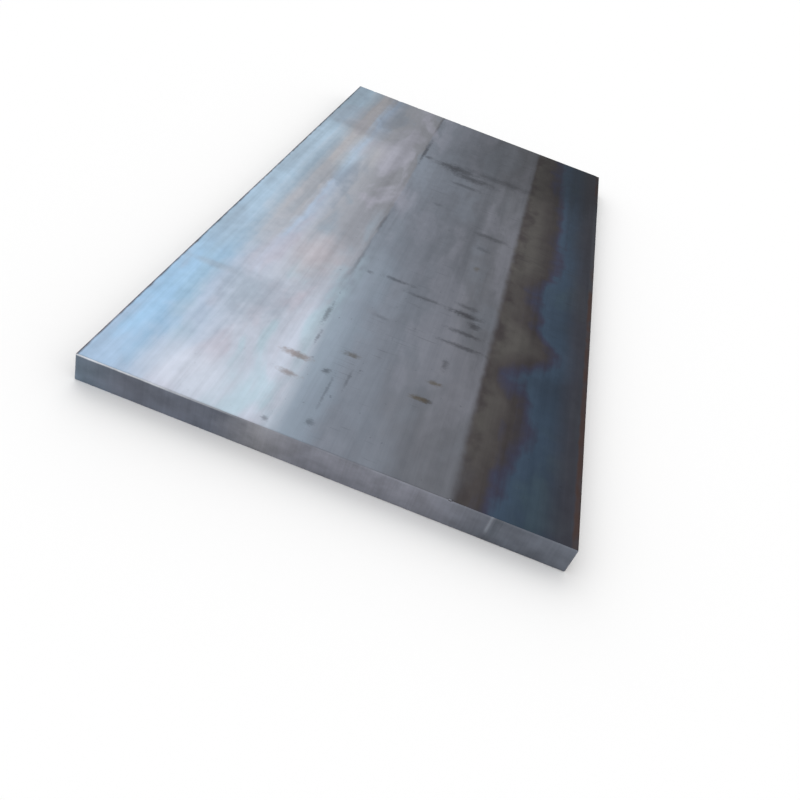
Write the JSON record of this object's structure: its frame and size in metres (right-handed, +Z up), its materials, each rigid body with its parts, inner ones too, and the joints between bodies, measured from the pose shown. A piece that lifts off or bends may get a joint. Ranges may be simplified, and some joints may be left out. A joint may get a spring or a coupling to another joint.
{
  "type": "steel plate",
  "caption": "Thick rectangular hot-rolled steel plate with rounded rolled sides and square torch-cut ends, raw stock for cutting, welding and machining.",
  "frame": {"origin": "middle of the lower face, on the surface that the plate lies on", "axes": "+X across the width, +Y along the rolling direction, +Z up through the thickness"},
  "size_m": [1.25, 2.5, 0.08],
  "materials": {
    "mill_scale_steel": "hot-rolled mill scale, blue-grey with brown heat tint and light rust"
  },
  "bodies": {
    "root": {"steel_plate": "mill_scale_steel"}
  },
  "joints": []
}
